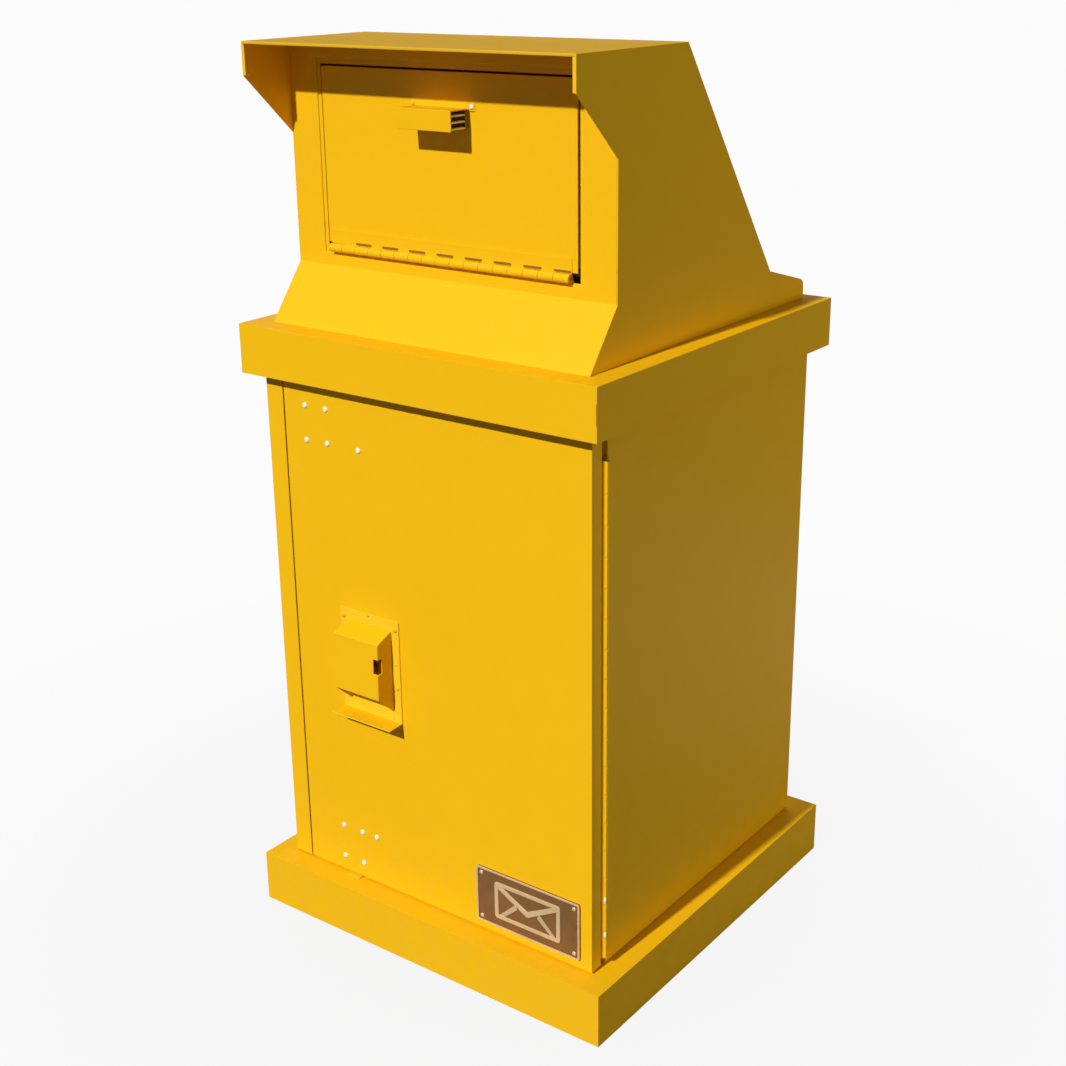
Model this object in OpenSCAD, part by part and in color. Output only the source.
// Steel mailbox: a square cabinet with a full-height locked door, and a head with a pull-down hopper.
// Frame: origin on the ground under the centre of the plinth, +X right, +Y back, +Z up.
// Units: millimetres.

/* [Cabinet] */
// Width of the cabinet over its side panels
body_w = 610; // [500:1:760]
// Depth of the cabinet from door face to back panel
body_d = 610; // [500:1:760]
// Height of the underside of the cap band above the ground
band_z = 929; // [760:1:1120]
// Height of the cap band
band_h = 77; // [60:1:100]
// How far the cap band stands out past the cabinet
band_over = 25; // [18:1:40]
// Height of the plinth
plinth_h = 88; // [70:1:120]
// How far the plinth stands out past the cabinet
plinth_over = 38; // [25:1:60]
// Thickness of the plinth steel
plinth_t = 3; // [2:0.5:4]
// Thickness of the cabinet and head sheet
sheet_t = 2; // [1.5:0.1:2.5]
// Width of the plinth's foot flange
foot_w = 80; // [60:1:100]
// Distance of an anchor hole's centre inside the plinth's edges
anchor_in = 53; // [40:1:70]
// Radius of an anchor hole
anchor_r = 7; // [5:0.5:9]

/* [Head] */
// Height of the head above the cap band
head_h = 414; // [340:1:500]
// Distance of the head's sides inside the cabinet's sides
head_in = 12; // [4:1:30]
// How far the visor reaches in front of the hopper panel
visor_reach = 94; // [60:1:120]
// Height of the visor's upright front edge
visor_h = 48; // [35:1:70]
// Height of the sloping brace edge under the visor
brace_h = 89; // [60:1:120]
// Distance of the hopper panel behind the cabinet's front
panel_back = 77; // [60:1:95]
// Height of the sloping skirt under the hopper panel
skirt_h = 84; // [70:1:120]
// Distance of the skirt's lower edge behind the cabinet's front
skirt_back = 12; // [8:1:20]
// Depth of the flat top behind the hopper panel
top_depth = 169; // [120:1:200]
// Height of the foot of the steep back slope above the cap
steep_foot_h = 61; // [50:1:80]
// Distance of that foot in front of the cabinet's back
steep_foot_y = 112; // [90:1:140]
// Height of the rear edge of the shallow slope above the cap
rear_h = 33; // [25:1:40]
// Radius of the bend at the rear edge
rear_r = 14; // [8:1:18]

/* [Main door] */
// Width of the stile left of the door
stile_w = 34; // [25:1:50]
// Gap round the main door
door_gap = 3; // [2:0.5:4]
// Depth of the door's folded edges
door_depth = 24; // [20:1:30]
// Radius of the long hinge's barrel
hinge_r = 4.8; // [4:0.1:6]
// Radius of the long hinge's pin
hinge_pin_r = 2; // [1.5:0.1:2.5]
// Number of knuckles on the long hinge
door_knuckles = 17; // [9:2:21]
// Thickness of every hinge leaf
leaf_t = 1.5; // [1:0.1:2]

/* [Hopper] */
// Width of the head's front panel left and right of the hopper door
hopper_side = 62.5; // [45:0.5:90]
// Distance of the hopper door's top below the top of the head
hopper_drop = 38; // [30:1:60]
// Height of the hopper hinge above the skirt's upper fold
hopper_lift = 28; // [22:1:40]
// Radius of the hopper hinge's barrel
hopper_hinge_r = 6.5; // [5:0.1:8]
// Number of knuckles on the hopper hinge
hopper_knuckles = 17; // [9:2:21]
// Reach of the mail tray from the hinge line
tray_reach = 150; // [110:1:170]
// Slope of the closed tray below the horizontal, in degrees
tray_slope = 35; // [25:1:45]
// Width of the hopper handle
handle_w = 96; // [80:1:120]
// Height of the hopper handle's grip
handle_h = 29; // [26:1:40]
// How far the handle stands out from the hopper door
handle_reach = 42; // [35:1:50]
// Distance of the grip's lower edge below the hopper door's top
handle_drop = 76; // [60:1:100]

/* [Lock] */
// Distance of the lock's centre from the door's left edge
lock_in = 156; // [130:1:190]
// Height of the lock's centre above the ground
lock_z = 483; // [400:1:580]
// Width of the lock plate
plate_w = 120; // [100:1:145]
// Height of the lock plate
plate_h = 172; // [150:1:210]
// Reach of the lock plate's bent lip
lip_reach = 32; // [20:1:40]
// Width of the lock plate left and right of the hood
hood_side = 15; // [12:1:20]
// Depth of the lock hood
hood_depth = 34; // [28:1:40]
// Distance of the hood's mouth above the lock plate's lower edge
hood_lift = 18; // [14:1:30]
// Distance of the hood's top below the lock plate's upper edge
hood_drop = 17; // [12:1:25]
// Radius of the lock barrel
barrel_r = 14; // [11:0.5:16]
// Radius of the key plug
plug_r = 7; // [6:0.5:9]
// Radius at which the cam's drive pins sit
crank_r = 16; // [14:0.5:18]
// Radius of a drive pin
drive_pin_r = 2.5; // [2:0.1:3]
// Width of a lock rod
rod_w = 16; // [12:1:20]
// Thickness of a lock rod
rod_t = 4; // [3:0.5:5]

/* [Nameplate] */
// Width of the nameplate
name_w = 195; // [150:1:220]
// Height of the nameplate
name_h = 97; // [78:1:117]
// Thickness of the nameplate with its border
name_t = 4; // [3:0.5:6]

/* [Hidden] */
$fn = 48;

yellow = "#f2c10d";
bare_steel = "#b9bcc0";
bronze = "#8a6238";
brass = "#c2974a";
rubber_black = "#26262a";

// Small fits
run_fit = 0.05;
slide_fit = 0.5;
eps = 0.01;

// Cabinet
half_w = body_w / 2;
half_d = body_d / 2;
front_y = -half_d;
band_top = band_z + band_h;
plinth_half_w = half_w + plinth_over;
plinth_half_d = half_d + plinth_over;
band_half_w = half_w + band_over;
band_half_d = half_d + band_over;
ledge_in = 45;
post_top = band_top - sheet_t;
floor_t = 2.5;
floor_top = plinth_h + floor_t;
edge_flange = 25;

// Main door
door_left = -half_w + stile_w + door_gap;
door_bottom = plinth_h + door_gap + 1;
door_top = band_z - 7;
door_back = front_y + door_depth;
header_z = door_top + door_gap;
door_flange = 28;
jamb_y = door_back + 2;
hinge_x = half_w + 2;
hinge_y = door_back + 8;
right_jamb_y = hinge_y + hinge_r;
hinge_bottom = door_bottom + 12;
hinge_top = door_top - 34;

// Head
total_h = band_top + head_h;
half_head = half_w - head_in;
panel_in = half_head - sheet_t;
panel_y = front_y + panel_back;
skirt_y = front_y + skirt_back;
kink_z = band_top + skirt_h;
visor_y = panel_y - visor_reach;
brace_z = total_h - visor_h - brace_h;
top_back_y = panel_y + top_depth;
steep_y = half_d - steep_foot_y;
steep_z = band_top + steep_foot_h;
rear_y = half_d - 5;
rear_z = band_top + rear_h;
hem_w = 6;
hem_d = 12;
top_hem_t = 4.2;

// Hopper
hopper_axis_y = panel_y - 4;
hopper_axis_z = kink_z + hopper_lift;
hopper_half = panel_in - hopper_side;
hopper_top = total_h - hopper_drop;
hopper_bottom = hopper_axis_z + hopper_hinge_r + 1;
opening_half = hopper_half + 9.5;
opening_bottom = hopper_axis_z - hopper_hinge_r - 2;
opening_top = hopper_top + 12;
frame_half = hopper_half + 3;
hopper_edge = 18;
cheek_half = hopper_half - 6;
handle_z = hopper_top - handle_drop;
bar_t = 2.5;
bar_z = handle_z + 2;
bar_pitch = (handle_h - 2 * bar_t) / 2.7;

// Lock
lock_left = door_left + lock_in;
rod_y = front_y + 11;
upper_rod_x = lock_left - 38;
lower_rod_x = lock_left - 58;
crank_side = crank_r * cos(45);
plate_top = lock_z + 89;
plate_bottom = plate_top - plate_h;
hood_w = plate_w - 2 * hood_side;
hood_top = plate_top - hood_drop;
hood_bottom = plate_bottom + hood_lift;
guide_t = 1.5;
upper_guide_z = door_top - 61;
lower_guide_z = door_bottom + 55;
upper_rivets = [[-112.5, 27], [-70, 27], [-112.5, -28], [-70, -27], [-7, -27]];
lower_rivets = [[-79, 28], [-38, 28], [-7, 29], [-79, -29], [-38, -29]];

// Outline in the Y-Z plane, extruded along X
module along_x(points, x0, x1)
    translate([x0, 0, 0]) rotate([90, 0, 90]) linear_extrude(x1 - x0) polygon(points);

// Outline in the X-Z plane, extruded back from y0
module along_y(points, y0, depth)
    translate([0, y0 + depth, 0]) rotate([90, 0, 0]) linear_extrude(depth) polygon(points);

// Outline in the X-Y plane, extruded up from z0
module along_z(points, z0, z1)
    translate([0, 0, z0]) linear_extrude(z1 - z0) polygon(points);

// Box from its two corners
module block(low, high) translate(low) cube([high.x - low.x, high.y - low.y, high.z - low.z]);

module rod_x(x0, x1, y, z, r) translate([x0, y, z]) rotate([0, 90, 0]) cylinder(h = x1 - x0, r = r);

module rod_y(x, y0, y1, z, r) translate([x, y0, z]) rotate([-90, 0, 0]) cylinder(h = y1 - y0, r = r);

module rod_z(x, y, z0, z1, r) translate([x, y, z0]) cylinder(h = z1 - z0, r = r);

// Domed head that stands out towards -Y from a face at y
module dome(x, y, z, r, h) {
    ball = (r * r + h * h) / (2 * h);
    intersection() {
        translate([x, y - h + ball, z]) sphere(r = ball);
        block([x - r, y - h - 1, z - r], [x + r, y, z + r]);
    }
}

// Rectangular frame between two outlines
module ring_z(half_x, half_y, in_x, in_y, z0, z1)
    difference() {
        block([-half_x, -half_y, z0], [half_x, half_y, z1]);
        block([-in_x, -in_y, z0 - 1], [in_x, in_y, z1 + 1]);
    }

module base_plinth()
    color(yellow)
    difference() {
        union() {
            ring_z(plinth_half_w, plinth_half_d, plinth_half_w - plinth_t, plinth_half_d - plinth_t,
                0, plinth_h);
            ring_z(plinth_half_w - eps, plinth_half_d - eps, half_w - ledge_in, half_d - ledge_in,
                plinth_h - plinth_t, plinth_h);
            ring_z(plinth_half_w - eps, plinth_half_d - eps, plinth_half_w - foot_w,
                plinth_half_d - foot_w, 0, plinth_t);
        }
        for (x = [-1, 1], y = [-1, 1])
            rod_z(x * (plinth_half_w - anchor_in), y * (plinth_half_d - anchor_in), -1, plinth_t + 1,
                anchor_r);
        block([lower_rod_x - rod_w / 2 - 2, rod_y - rod_t, plinth_h - plinth_t - 1],
            [lower_rod_x + rod_w / 2 + 2, rod_y + rod_t, plinth_h + 1]);
    }

module floor_panel()
    color(yellow)
    block([-half_w + sheet_t, front_y + door_depth + 12, plinth_h],
        [half_w - sheet_t, half_d - sheet_t, floor_top]);

// Side wall whose front edge is folded into the stile and the door's jamb
module left_side_panel() {
    jamb_x = -half_w + stile_w;
    color(yellow)
    along_z([
        [-half_w, half_d], [-half_w, front_y], [jamb_x, front_y], [jamb_x, jamb_y],
        [jamb_x + 18, jamb_y], [jamb_x + 18, jamb_y + sheet_t], [jamb_x - sheet_t, jamb_y + sheet_t],
        [jamb_x - sheet_t, front_y + sheet_t], [-half_w + sheet_t, front_y + sheet_t],
        [-half_w + sheet_t, half_d]
    ], floor_top, post_top);
}

// Side wall whose front edge is folded in behind the long hinge
module right_side_panel()
    color(yellow)
    along_z([
        [half_w, half_d], [half_w, right_jamb_y], [half_w - 30, right_jamb_y],
        [half_w - 30, right_jamb_y + sheet_t], [half_w - sheet_t, right_jamb_y + sheet_t],
        [half_w - sheet_t, half_d]
    ], floor_top, post_top);

module back_panel() {
    in_x = half_w - sheet_t;
    color(yellow)
    along_z([
        [-in_x, half_d], [in_x, half_d], [in_x, half_d - edge_flange],
        [in_x - sheet_t, half_d - edge_flange], [in_x - sheet_t, half_d - sheet_t],
        [-in_x + sheet_t, half_d - sheet_t], [-in_x + sheet_t, half_d - edge_flange],
        [-in_x, half_d - edge_flange]
    ], floor_top, post_top);
}

// Lipped band round the top, open below, with a ledge that carries the head
module cap_band()
    color(yellow)
    difference() {
        union() {
            ring_z(band_half_w, band_half_d, band_half_w - sheet_t, band_half_d - sheet_t,
                band_z, band_top);
            ring_z(band_half_w - eps, band_half_d - eps, half_w - ledge_in, half_d - ledge_in,
                post_top, band_top);
        }
        // The corner seam springs open a little between its welds
        translate([band_half_w - 1.5, -band_half_d - 1, band_z + band_h * 0.3])
            cube([1, sheet_t + 2, band_h * 0.4]);
    }

module door_header()
    color(yellow)
    difference() {
        along_x([
            [front_y + sheet_t, post_top], [front_y + sheet_t, header_z], [jamb_y + 10, header_z],
            [jamb_y + 10, header_z + sheet_t], [front_y + 2 * sheet_t, header_z + sheet_t],
            [front_y + 2 * sheet_t, post_top]
        ], -half_w + sheet_t, half_w - 31);
        block([upper_rod_x - rod_w / 2 - 1, rod_y - rod_t / 2 - 1, header_z - 1],
            [upper_rod_x + rod_w / 2 + 1, rod_y + rod_t / 2 + 1, header_z + sheet_t + 1]);
        block([-half_w, front_y, header_z - 1],
            [-half_w + stile_w + 18 + slide_fit, jamb_y + 12, post_top + 1]);
    }

module front_sill()
    color(yellow)
    along_x([
        [jamb_y, plinth_h], [jamb_y, floor_top + 24], [jamb_y + sheet_t, floor_top + 24],
        [jamb_y + sheet_t, plinth_h + sheet_t], [jamb_y + 9.5, plinth_h + sheet_t],
        [jamb_y + 9.5, plinth_h]
    ], -half_w + stile_w + 18 + slide_fit, half_w - 31);

// Arc of the folded rear edge, from the shallow slope to the upright
function rear_arc(r) = [for (a = [74:-18.5:0]) [rear_y - rear_r + r * cos(a) + 4, rear_z - rear_r + r * sin(a)]];

head_outline = concat([
    [skirt_y, band_top], [panel_y, kink_z], [panel_y, brace_z], [visor_y, total_h - visor_h],
    [visor_y, total_h], [top_back_y, total_h], [steep_y, steep_z]
], rear_arc(rear_r), [[rear_y + 4, band_top]]);

// Cheek of the head with a doubled upright front edge; side is -1 on the left and 1 on the right
module head_side(side) {
    outer = side * half_head;
    inner = side * (half_head - sheet_t);
    hem_in = side * (half_head - hem_w);
    color(yellow) {
        along_x(head_outline, min(outer, inner), max(outer, inner));
        block([min(inner, hem_in), visor_y, total_h - visor_h],
            [max(inner, hem_in), visor_y + hem_d, total_h - top_hem_t]);
    }
}

module head_left_side() head_side(-1);

module head_right_side() head_side(1);

module head_front_panel() {
    skirt_run = panel_y - skirt_y;
    skirt_len = sqrt(skirt_run * skirt_run + skirt_h * skirt_h);
    flat = sheet_t * skirt_len / skirt_h;
    fold = sheet_t * (skirt_len - skirt_run) / skirt_h;
    color(yellow)
    difference() {
        along_x([
            [skirt_y, band_top], [panel_y, kink_z], [panel_y, total_h - sheet_t],
            [panel_y + sheet_t, total_h - sheet_t], [panel_y + sheet_t, kink_z - fold],
            [skirt_y + flat, band_top]
        ], -panel_in, panel_in);
        block([-opening_half, panel_y - 1, opening_bottom], [opening_half, panel_y + 9, opening_top]);
    }
}

// Flat frame that stiffens the edge of the hopper opening from behind
module hopper_frame()
    color(yellow)
    difference() {
        block([-opening_half - 12, panel_y + sheet_t, kink_z + 4],
            [opening_half + 12, panel_y + 2 * sheet_t, opening_top + 12]);
        block([-frame_half, panel_y, opening_bottom + 2], [frame_half, panel_y + 9, hopper_top + 3]);
    }

module visor_top()
    color(yellow)
    along_x([
        [visor_y, total_h], [visor_y, total_h - top_hem_t], [visor_y + hem_d, total_h - top_hem_t],
        [visor_y + hem_d, total_h - sheet_t], [top_back_y, total_h - sheet_t], [top_back_y, total_h]
    ], -panel_in, panel_in);

// Steep back slope, shallow rear slope and the folded rear edge
module head_back_panel() {
    run = steep_y - top_back_y;
    rise = total_h - steep_z;
    len = sqrt(run * run + rise * rise);
    drop = sheet_t * len / run;
    inner_steep = [steep_y - sheet_t * 0.55, steep_z - sheet_t * 0.85];
    color(yellow)
    along_x(concat([
        [top_back_y, total_h], [steep_y, steep_z]
    ], rear_arc(rear_r), [
        [rear_y + 4, band_top], [rear_y + 4 - sheet_t, band_top]
    ], [for (i = [4:-1:0]) rear_arc(rear_r - sheet_t)[i]], [
        inner_steep, [top_back_y, total_h - drop]
    ]), -panel_in, panel_in);
}

// Baffle across the head: turns the mail down and keeps hands out
module mail_baffle() {
    baffle_drop = 100;
    baffle_gap = 11.388;
    slope_run = (steep_y - top_back_y) / (total_h - steep_z);
    top_y = top_back_y + baffle_drop * slope_run - baffle_gap;
    top_z = total_h - baffle_drop;
    color(yellow)
    along_x([
        [top_y - 14, top_z], [top_y, top_z], [top_y + 34, top_z - 150],
        [top_y + 34 - sheet_t, top_z - 150], [top_y - sheet_t, top_z - sheet_t],
        [top_y - 14, top_z - sheet_t]
    ], -panel_in, panel_in);
}

// One leaf's knuckles: every second one along the hinge, starting from first
function knuckle_starts(low, high, count, first) =
    [for (i = [first:2:count - 1]) low + i * (high - low) / count];

module door_knuckle_run(first, leaf_points) {
    pitch = (hinge_top - hinge_bottom) / door_knuckles;
    difference() {
        union() {
            along_z(leaf_points, hinge_bottom, hinge_top);
            for (z = knuckle_starts(hinge_bottom, hinge_top, door_knuckles, first))
                rod_z(hinge_x, hinge_y, z + 0.25, z + pitch - 0.25, hinge_r);
        }
        for (z = knuckle_starts(hinge_bottom, hinge_top, door_knuckles, 1 - first))
            rod_z(hinge_x, hinge_y, z - 0.25, z + pitch + 0.25, hinge_r + 0.4);
        rod_z(hinge_x, hinge_y, hinge_bottom - 1, hinge_top + 1, hinge_pin_r + run_fit);
    }
}

module cabinet_hinge_leaf()
    color(yellow)
    door_knuckle_run(0, [
        [hinge_x, right_jamb_y - leaf_t], [hinge_x, right_jamb_y], [half_w - 27, right_jamb_y],
        [half_w - 27, right_jamb_y - leaf_t]
    ]);

module door_hinge_leaf()
    color(yellow)
    door_knuckle_run(1, [
        [half_w - 27, door_back], [half_w - 0.5, door_back], [hinge_x + 0.5, hinge_y - hinge_r],
        [hinge_x - 1, hinge_y - hinge_r + leaf_t], [half_w - 1.5, door_back + leaf_t],
        [half_w - 27, door_back + leaf_t]
    ]);

module door_hinge_pin()
    color(bare_steel)
    union() {
        rod_z(hinge_x, hinge_y, hinge_bottom, hinge_top + 0.5, hinge_pin_r);
        rod_z(hinge_x, hinge_y, hinge_top + 0.5, hinge_top + 2.5, hinge_pin_r + 1.5);
    }

module hopper_knuckle_run(first, leaf_points) {
    low = -hopper_half + 7;
    high = hopper_half - 9;
    pitch = (high - low) / hopper_knuckles;
    difference() {
        union() {
            along_x(leaf_points, low, high);
            for (x = knuckle_starts(low, high, hopper_knuckles, first))
                rod_x(x + 0.3, x + pitch - 0.3, hopper_axis_y, hopper_axis_z, hopper_hinge_r);
        }
        for (x = knuckle_starts(low, high, hopper_knuckles, 1 - first))
            rod_x(x - 0.3, x + pitch + 0.3, hopper_axis_y, hopper_axis_z, hopper_hinge_r + 0.5);
        rod_x(low - 1, high + 1, hopper_axis_y, hopper_axis_z, hinge_pin_r + run_fit);
    }
}

// Fixed leaf: runs back under the opening and down behind the panel's lower edge
module head_hinge_leaf() {
    leaf_y = panel_y + 2 * sheet_t;
    leaf_z = hopper_axis_z - 4;
    color(yellow)
    hopper_knuckle_run(0, [
        [hopper_axis_y + 4, leaf_z], [leaf_y + leaf_t, leaf_z], [leaf_y + leaf_t, kink_z + 2],
        [leaf_y, kink_z + 2], [leaf_y, leaf_z - leaf_t], [hopper_axis_y + 2, leaf_z - leaf_t]
    ]);
}

// Moving leaf: laps up over the face of the hopper door
module hopper_hinge_leaf()
    color(yellow)
    hopper_knuckle_run(1, [
        [panel_y - leaf_t, hopper_axis_z + 3], [panel_y - leaf_t, hopper_axis_z + 27],
        [panel_y, hopper_axis_z + 27], [panel_y, hopper_axis_z + 3]
    ]);

module hopper_hinge_pin()
    color(bare_steel)
    rod_x(-hopper_half + 7, hopper_half - 9, hopper_axis_y, hopper_axis_z, hinge_pin_r);

module upper_keeper()
    color(bare_steel)
    difference() {
        block([upper_rod_x - 24, front_y + 2 * sheet_t, header_z + sheet_t],
            [upper_rod_x + 24, jamb_y + 8, header_z + sheet_t + 3]);
        block([upper_rod_x - rod_w / 2 - slide_fit, rod_y - rod_t / 2 - slide_fit, header_z],
            [upper_rod_x + rod_w / 2 + slide_fit, rod_y + rod_t / 2 + slide_fit, header_z + 9]);
    }

// Plate on the ledge whose front end shows under the door
module lower_keeper()
    color(yellow)
    difference() {
        block([lower_rod_x - 14, front_y - 8, plinth_h], [lower_rod_x + 14, jamb_y, plinth_h + 2]);
        block([lower_rod_x - rod_w / 2 - slide_fit, rod_y - rod_t / 2 - slide_fit, plinth_h - 1],
            [lower_rod_x + rod_w / 2 + slide_fit, rod_y + rod_t / 2 + slide_fit, plinth_h + 3]);
    }

module door_bumpers()
    color(rubber_black)
    for (z = [door_bottom + 120, door_top - 120])
        translate([-half_w + stile_w + 12, jamb_y, z]) rotate([90, 0, 0])
            cylinder(h = 1.8, r = 5);

// Door pan: face with four folded edges, and a flange for the hinge on the right
module door_pan()
    color(yellow)
    difference() {
        union() {
            block([door_left, front_y, door_bottom], [half_w, front_y + sheet_t, door_top]);
            block([door_left, front_y + eps, door_bottom], [door_left + sheet_t, door_back, door_top]);
            block([half_w - sheet_t, front_y + eps, door_bottom], [half_w, door_back, door_top]);
            block([half_w - door_flange, door_back - sheet_t, door_bottom], [half_w, door_back, door_top]);
            block([door_left, front_y + eps, door_top - sheet_t], [half_w, door_back, door_top]);
            block([door_left, front_y + eps, door_bottom], [half_w, door_back, door_bottom + sheet_t]);
        }
        rod_y(lock_left, front_y - 1, front_y + sheet_t + 1, lock_z, barrel_r + 0.3);
        for (x = [upper_rod_x, lower_rod_x])
            block([x - rod_w / 2 - 1, rod_y - rod_t / 2 - 1, x == upper_rod_x ? door_top - 9 : door_bottom - 9],
                [x + rod_w / 2 + 1, rod_y + rod_t / 2 + 1, x == upper_rod_x ? door_top + 9 : door_bottom + 9]);
    }

// Hat-section stiffener behind the door's face
module door_stiffener() {
    y0 = front_y + sheet_t;
    color(yellow)
    along_z([
        [40, y0], [40, y0 + sheet_t], [58, y0 + sheet_t], [58, y0 + 16], [102, y0 + 16],
        [102, y0 + sheet_t], [120, y0 + sheet_t], [120, y0], [100, y0], [100, y0 + 14],
        [60, y0 + 14], [60, y0]
    ], door_bottom + 40, door_top - 40);
}

module lock_plate()
    color(yellow)
    difference() {
        union() {
            block([lock_left - plate_w / 2, front_y - 2, plate_bottom],
                [lock_left + plate_w / 2, front_y, plate_top]);
            along_x([
                [front_y - eps, plate_bottom], [front_y - eps, plate_bottom + 2],
                [front_y - lip_reach, plate_bottom + 1], [front_y - lip_reach, plate_bottom - 1]
            ], lock_left - plate_w / 2, lock_left + plate_w / 2);
        }
        rod_y(lock_left, front_y - 3, front_y + 1, lock_z, barrel_r + 0.3);
    }

// Hood over the lock, open below; a slot in its front right corner shows the lock
module lock_hood() {
    root = front_y - 2;
    nose = front_y - hood_depth;
    outer = [[root, hood_top], [nose, hood_top - 13], [nose - 3, hood_bottom + 32], [root, hood_bottom]];
    inner = [[root + 1, hood_top - 2.3], [nose + 2, hood_top - 15], [nose - 1, hood_bottom + 20],
        [root + 1, hood_bottom - 12]];
    color(yellow)
    difference() {
        along_x(outer, lock_left - hood_w / 2, lock_left + hood_w / 2);
        along_x(inner, lock_left - hood_w / 2 + 2, lock_left + hood_w / 2 - 2);
        block([lock_left + hood_w / 2 - 10, nose - 9, lock_z + 10],
            [lock_left + hood_w / 2 + 1, nose + 8, lock_z + 34]);
    }
}

module lock_barrel()
    color(brass)
    difference() {
        union() {
            rod_y(lock_left, front_y - 22, front_y + 5, lock_z, barrel_r);
            rod_y(lock_left, front_y + sheet_t, front_y + 5, lock_z, barrel_r + 5);
        }
        rod_y(lock_left, front_y - 23, front_y + 6, lock_z, plug_r + run_fit);
    }

module lock_plate_rivets()
    color(yellow)
    for (side = [-1, 1], z = [plate_top - 14, plate_top - 112])
        dome(lock_left + side * (plate_w / 2 - 7), front_y - 2, z, 4, 2);

// Plate behind the door's face with a strap that a lock rod slides through
module rod_guide(x, z, left, right) {
    y0 = front_y + sheet_t;
    strap_y = rod_y + rod_t / 2 + slide_fit;
    inner = rod_w / 2 + slide_fit;
    color(bare_steel) {
        block([left, y0, z - 38], [right, y0 + guide_t, z + 38]);
        for (side = [-1, 1])
            block([x + side * (inner + 1) - 1, y0 + guide_t - eps, z - 12],
                [x + side * (inner + 1) + 1, strap_y, z + 12]);
        block([x - inner - 2, strap_y - eps, z - 12], [x + inner + 2, strap_y + 2, z + 12]);
    }
}

module upper_rod_guide() rod_guide(upper_rod_x, upper_guide_z, lock_left - 124, lock_left + 4);

module lower_rod_guide() rod_guide(lower_rod_x, lower_guide_z, lock_left - 91, lock_left + 4);

module guide_rivets()
    color("white") {
        for (p = upper_rivets) dome(lock_left + p.x, front_y, upper_guide_z + p.y, 4.6, 2.4);
        for (p = lower_rivets) dome(lock_left + p.x, front_y, lower_guide_z + p.y, 4.6, 2.4);
    }

name_x = half_w - 20 - name_w;
name_z = door_bottom + 14;

// Cast plate with a raised border and a raised envelope for its emblem
module nameplate() {
    base_y = front_y - name_t + 1.2;
    color(bronze)
    union() {
        block([name_x, base_y, name_z], [name_x + name_w, front_y, name_z + name_h]);
        difference() {
            block([name_x, front_y - name_t, name_z], [name_x + name_w, base_y + eps, name_z + name_h]);
            block([name_x + 4, front_y - name_t - 1, name_z + 4],
                [name_x + name_w - 4, base_y + 1, name_z + name_h - 4]);
        }
    }
}

module nameplate_screws()
    color(bronze)
    for (x = [name_x + 10, name_x + name_w - 10], z = [name_z + 10, name_z + name_h - 10])
        dome(x, front_y - name_t + 1.2, z, 3.5, 1.6);

// Key plug with its cam and two drive pins; the rods are drawn back as drawn here
module key_plug()
    color(brass)
    difference() {
        union() {
            rod_y(lock_left, front_y - 22, front_y + 6, lock_z, plug_r);
            rod_y(lock_left, front_y - 24, front_y - 22, lock_z, plug_r + 2);
            rod_y(lock_left, front_y + 5.4, front_y + 8, lock_z, crank_r + 6);
            for (side = [-1, 1])
                rod_y(lock_left + side * crank_side, front_y + 7.9, front_y + 16,
                    lock_z - side * crank_side, drive_pin_r);
        }
        block([lock_left - 0.9, front_y - 25, lock_z - 5], [lock_left + 0.9, front_y - 14, lock_z + 5]);
    }

// Foot of a lock rod with a level slot for its drive pin; side is 1 for the upper rod, -1 for the lower
module rod_foot(side) {
    foot_x = lock_left + side * 15;
    foot_z = lock_z - side * crank_side;
    difference() {
        block([foot_x - 13, rod_y - rod_t / 2, foot_z - 9], [foot_x + 13, rod_y + rod_t / 2, foot_z + 9]);
        block([lock_left + side * (crank_side + crank_r) / 2 - 7, rod_y - rod_t,
                foot_z - drive_pin_r - 0.9],
            [lock_left + side * (crank_side + crank_r) / 2 + 7, rod_y + rod_t,
                foot_z + drive_pin_r + 0.9]);
    }
}

module upper_lock_rod() {
    foot_x = lock_left + 15;
    turn_z = lock_z + 56;
    color(bare_steel)
    union() {
        rod_foot(1);
        block([foot_x - 5, rod_y - rod_t / 2, lock_z - crank_side + 8],
            [foot_x + 11, rod_y + rod_t / 2, turn_z + rod_w]);
        block([upper_rod_x - rod_w / 2, rod_y - rod_t / 2, turn_z],
            [foot_x + 11, rod_y + rod_t / 2, turn_z + rod_w]);
        block([upper_rod_x - rod_w / 2, rod_y - rod_t / 2, turn_z],
            [upper_rod_x + rod_w / 2, rod_y + rod_t / 2, door_top - sheet_t]);
    }
}

module lower_lock_rod() {
    foot_x = lock_left - 15;
    turn_z = lock_z - 56;
    color(bare_steel)
    union() {
        rod_foot(-1);
        block([foot_x - 11, rod_y - rod_t / 2, turn_z - rod_w],
            [foot_x + 5, rod_y + rod_t / 2, lock_z + crank_side - 8]);
        block([lower_rod_x - rod_w / 2, rod_y - rod_t / 2, turn_z - rod_w],
            [foot_x + 5, rod_y + rod_t / 2, turn_z]);
        block([lower_rod_x - rod_w / 2, rod_y - rod_t / 2, door_bottom + sheet_t],
            [lower_rod_x + rod_w / 2, rod_y + rod_t / 2, turn_z]);
    }
}

module hopper_door()
    color(yellow)
    union() {
        block([-hopper_half, panel_y, hopper_bottom], [hopper_half, panel_y + sheet_t, hopper_top]);
        for (side = [-1, 1]) {
            inner = side * (hopper_half - sheet_t / 2);
            block([inner - sheet_t / 2, panel_y + eps, hopper_axis_z + 14],
                [inner + sheet_t / 2, panel_y + hopper_edge, hopper_top]);
        }
        block([-hopper_half, panel_y + eps, hopper_top - sheet_t],
            [hopper_half, panel_y + hopper_edge, hopper_top]);
    }

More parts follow.
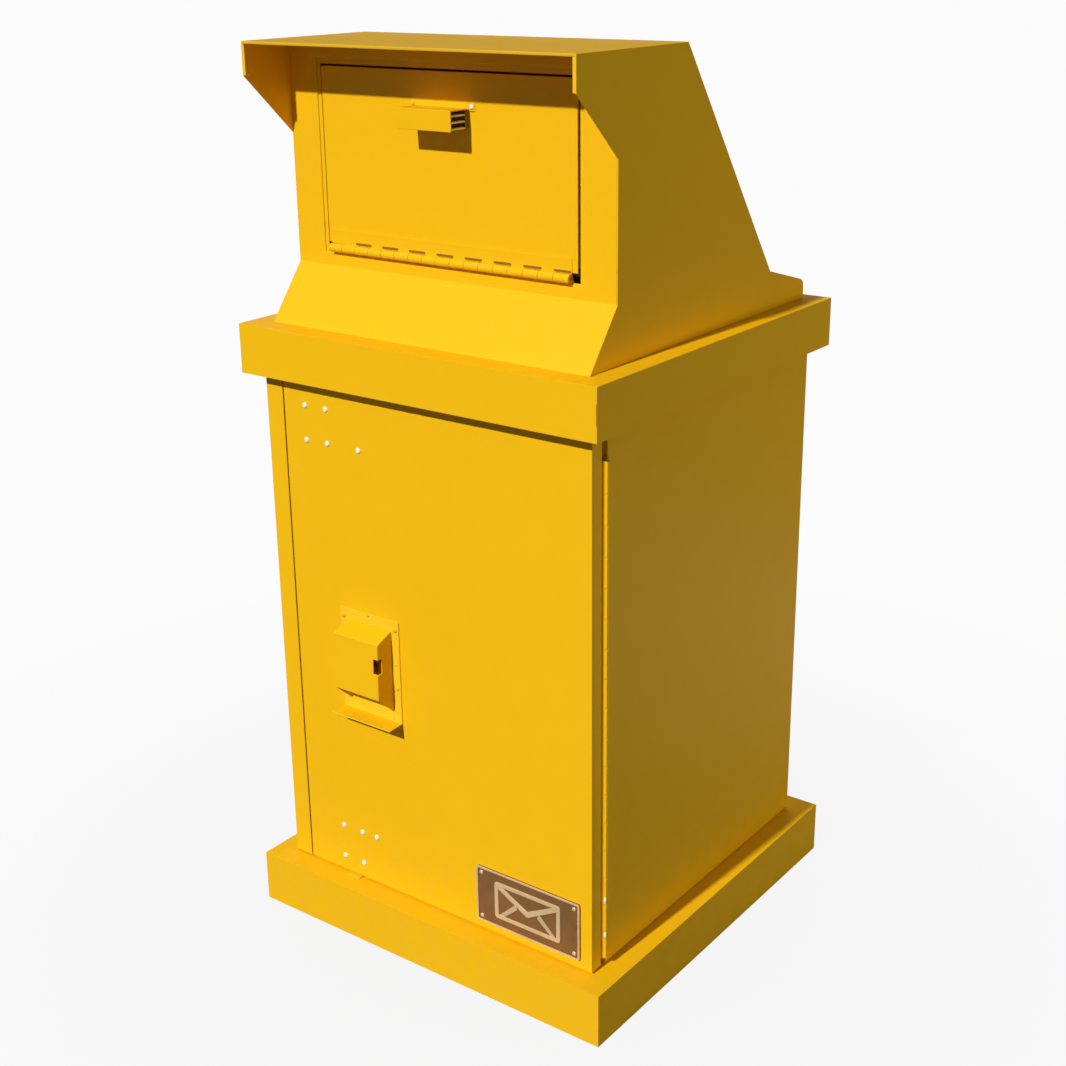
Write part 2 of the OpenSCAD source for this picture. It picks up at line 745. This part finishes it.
// Tray and its two cheeks: holds the mail while the hopper is pulled open
module hopper_tray() {
    tip = [hopper_axis_y + tray_reach * cos(tray_slope), hopper_axis_z - tray_reach * sin(tray_slope)];
    lift = [sheet_t * sin(tray_slope), sheet_t * cos(tray_slope)];
    heel = [panel_y + sheet_t, hopper_bottom + 4];
    cheek = concat([heel], [for (a = [-tray_slope:17.5:70])
        [hopper_axis_y + tray_reach * cos(a), hopper_axis_z + tray_reach * sin(a)]],
        [[panel_y + sheet_t, hopper_axis_z + tray_reach]]);
    color(yellow)
    union() {
        along_x([heel, tip, tip + lift, heel + [0, 3]], -cheek_half, cheek_half);
        along_x([heel, heel + [0, 24], heel + [sheet_t, 24], heel + [sheet_t, -sheet_t * 0.6]],
            -cheek_half, cheek_half);
        along_x(cheek, -cheek_half, -cheek_half + sheet_t);
        along_x(cheek, cheek_half - sheet_t, cheek_half);
    }
}

// Folded pull: root flange on the door, flat top, upright grip
module hopper_handle() {
    grip_y = panel_y - handle_reach;
    color(yellow)
    union() {
        block([-handle_w / 2 - 10, panel_y - 1.5, handle_z + handle_h - 4],
            [handle_w / 2 + 10, panel_y, handle_z + handle_h + 7]);
        block([-handle_w / 2, grip_y, handle_z + handle_h - 2],
            [handle_w / 2, panel_y - 1, handle_z + handle_h]);
        block([-handle_w / 2, grip_y, handle_z], [handle_w / 2, grip_y + 2, handle_z + handle_h]);
    }
}

// Three flat bars at each end of the handle
module handle_bars()
    color(bare_steel)
    for (side = [-1, 1], i = [0:2])
        block([side * (handle_w / 2 - 5) - 5, panel_y - handle_reach + 2, bar_z + i * bar_pitch],
            [side * (handle_w / 2 - 5) + 5, panel_y - 10, bar_z + bar_t + i * bar_pitch]);

module handle_rivets()
    color(yellow)
    for (side = [-1, 1])
        dome(side * (handle_w / 2 + 5), panel_y - 1.5, handle_z + handle_h + 2, 3.5, 1.8);

base_plinth();
floor_panel();
left_side_panel();
right_side_panel();
back_panel();
cap_band();
door_header();
front_sill();
head_left_side();
head_right_side();
head_front_panel();
hopper_frame();
visor_top();
head_back_panel();
mail_baffle();
head_hinge_leaf();
hopper_hinge_pin();
cabinet_hinge_leaf();
door_hinge_pin();
upper_keeper();
lower_keeper();
door_bumpers();
door_pan();
door_stiffener();
door_hinge_leaf();
lock_plate();
lock_hood();
lock_barrel();
lock_plate_rivets();
upper_rod_guide();
lower_rod_guide();
guide_rivets();
nameplate();
nameplate_screws();
key_plug();
upper_lock_rod();
lower_lock_rod();
hopper_door();
hopper_tray();
hopper_hinge_leaf();
hopper_handle();
handle_bars();
handle_rivets();
